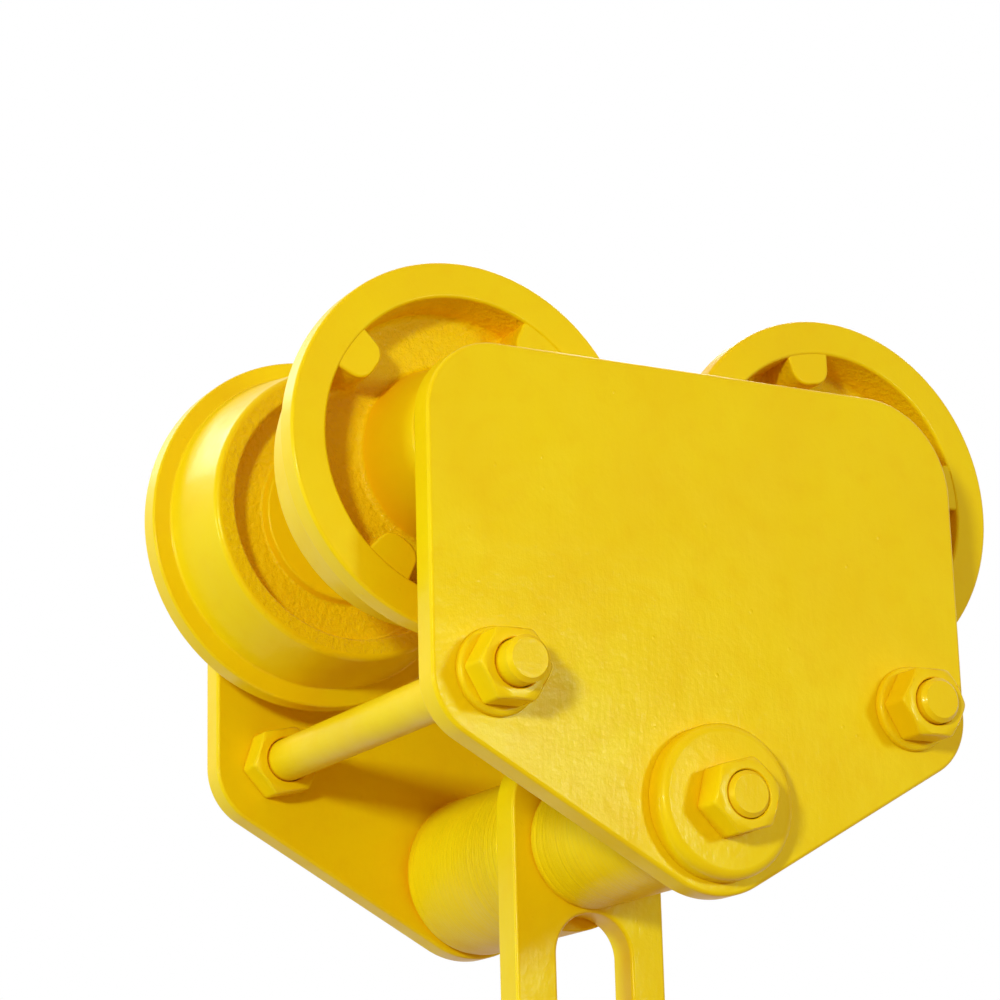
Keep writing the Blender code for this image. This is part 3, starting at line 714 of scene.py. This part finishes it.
def floor_material():
    """Pale, fading to white outwards where it is seen or mirrored, with a warmer bounce on the trolley."""
    nodes = Nodes("floor_pale")
    seen = background_rays(nodes.tree)
    nodes.link(nodes.mix(seen, FLOOR_BOUNCE, FLOOR_COLOUR), "Base Color")
    nodes.shader.inputs["Roughness"].default_value = FLOOR_ROUGHNESS
    nodes.shader.inputs["Specular IOR Level"].default_value = 0
    glow = nodes.add("ShaderNodeEmission", {"Color": WHITE, "Strength": 1})
    place = nodes.add("ShaderNodeTexCoord").outputs["Object"]
    radius = nodes.add("ShaderNodeVectorMath", {0: place}, operation="LENGTH").outputs["Value"]
    fade = nodes.between(radius, FLOOR_FADE_START, FLOOR_SIZE / 2, FLOOR_WHITE_SHARE, 1)
    share = nodes.add("ShaderNodeMath", {0: seen, 1: fade}, operation="MULTIPLY").outputs[0]
    mixed = nodes.add("ShaderNodeMixShader", {0: share})
    nodes.tree.links.new(nodes.shader.outputs[0], mixed.inputs[1])
    nodes.tree.links.new(glow.outputs[0], mixed.inputs[2])
    nodes.tree.links.new(mixed.outputs[0], nodes.tree.nodes["Material Output"].inputs["Surface"])
    return nodes.material


def make_stage():
    """A pale floor below the hanging trolley. It keeps the trolley's shadow."""
    shape = bmesh.new()
    bmesh.ops.create_grid(shape, x_segments=1, y_segments=1, size=FLOOR_SIZE / 2)
    mesh = bpy.data.meshes.new("floor")
    shape.to_mesh(mesh)
    shape.free()
    mesh.materials.append(floor_material())
    floor = bpy.data.objects.new("floor", mesh)
    bpy.context.scene.collection.objects.link(floor)
    floor.location.z = FLOOR_Z


def make_world():
    """White where it is seen or mirrored, and a weaker, warm fill light elsewhere."""
    world = bpy.data.worlds.new("studio")
    bpy.context.scene.world = world
    world.use_nodes = True
    tree = world.node_tree
    tree.nodes.clear()
    fill = tree.nodes.new("ShaderNodeBackground")
    fill.inputs["Color"].default_value = FILL_COLOUR
    fill.inputs["Strength"].default_value = WORLD_FILL
    white = tree.nodes.new("ShaderNodeBackground")
    white.inputs["Color"].default_value = WHITE
    mixed = tree.nodes.new("ShaderNodeMixShader")
    tree.links.new(background_rays(tree), mixed.inputs["Fac"])
    tree.links.new(fill.outputs[0], mixed.inputs[1])
    tree.links.new(white.outputs[0], mixed.inputs[2])
    output = tree.nodes.new("ShaderNodeOutputWorld")
    tree.links.new(mixed.outputs[0], output.inputs["Surface"])


def make_lamp(name, azimuth, elevation, distance, width, power, colour):
    """An area lamp facing the trolley's middle. Azimuth 0 is in front of the near plate, positive to its right."""
    light = bpy.data.lights.new(name, "AREA")
    light.size = width
    light.energy = power
    light.color = colour
    lamp = bpy.data.objects.new(name, light)
    bpy.context.scene.collection.objects.link(lamp)
    turn, rise = math.radians(azimuth), math.radians(elevation)
    way = Vector((math.sin(turn) * math.cos(rise), -math.cos(turn) * math.cos(rise), math.sin(rise)))
    lamp.location = way * distance
    lamp.rotation_euler = way.to_track_quat("Z", "Y").to_euler()


def make_camera():
    """The photograph's viewpoint: left of the near plate, below the wheels and looking up."""
    yaw, pitch, roll = (math.radians(angle) for angle in (CAMERA_YAW, CAMERA_PITCH, CAMERA_ROLL))
    ahead = Vector((math.sin(yaw) * math.cos(pitch), math.cos(yaw) * math.cos(pitch), math.sin(pitch)))
    right = Vector((math.cos(yaw), -math.sin(yaw), 0))
    up = right.cross(ahead)
    rolled_right = right * math.cos(roll) + up * math.sin(roll)
    rolled_up = up * math.cos(roll) - right * math.sin(roll)
    camera = bpy.data.objects.new("camera", bpy.data.cameras.new("camera"))
    camera.data.lens = CAMERA_LENS
    camera.data.clip_start = CAMERA_CLIP_START
    bpy.context.scene.collection.objects.link(camera)
    turned = Matrix((rolled_right, rolled_up, -ahead)).transposed()
    camera.matrix_world = Matrix.Translation(CAMERA_PLACE) @ turned.to_4x4()
    bpy.context.scene.camera = camera


def main():
    plate = enamel("enamel_plates")
    turned = enamel("enamel_turned", peel=0.8)
    cast = enamel("enamel_cast", grain=0.8, coat=0.12)
    bar = enamel("enamel_bars", peel=0.8)
    sleeve = enamel("enamel_sleeve_turned", peel=0.7, turning=1, coat=0.04, gloss=0.42)
    bright = steel("steel_turned", STEEL_TURNED, 0.35)
    ground = steel("steel_ground", STEEL_GROUND, 0.25)
    spring = steel("steel_spring", STEEL_SPRING, 0.45)
    for side, sign in SIDES.items():
        make_side_plate(side, plate)
        make_sleeve(side, sleeve)
        collar = f"shaft_collar_{side}"
        inner = THREAD_RADIUS + THREAD_GAP
        make_ring(f"{collar}_painted", collar, sign, inner, COLLAR_EDGE, plate)
        make_nut(f"shaft_nut_{side}", sign, SHAFT_NUT_TURN, bar)
        for end in ENDS:
            label = f"{side}_{end}"
            make_wheel(side, end, turned, cast)
            make_axle(side, end, bright)
            make_nut(f"rod_nut_outer_{label}", sign, OUTER_NUT_TURN, bar)
            make_nut(f"rod_nut_inner_{label}", -sign, INNER_NUT_TURN, bar)
            washer = f"rod_washer_{label}"
            make_ring(f"{washer}_painted", washer, sign, inner, WASHER_EDGE, plate)
            frame["nodes"][f"bearing_{label}"].data.materials[0] = ground
            frame["nodes"][f"circlip_{label}"].data.materials[0] = spring
    for end in ENDS:
        make_rod(f"tie_rod_{end}", bar)
    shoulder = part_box("side_plate_far")[1].y - SHAFT_SHOULDER_SETBACK
    make_rod("load_shaft", bar, shoulder)
    make_hanger(plate)
    make_stage()
    make_world()
    for lamp in LAMPS:
        make_lamp(*lamp)
    make_camera()
    bpy.context.scene.view_settings.view_transform = "Standard"


main()
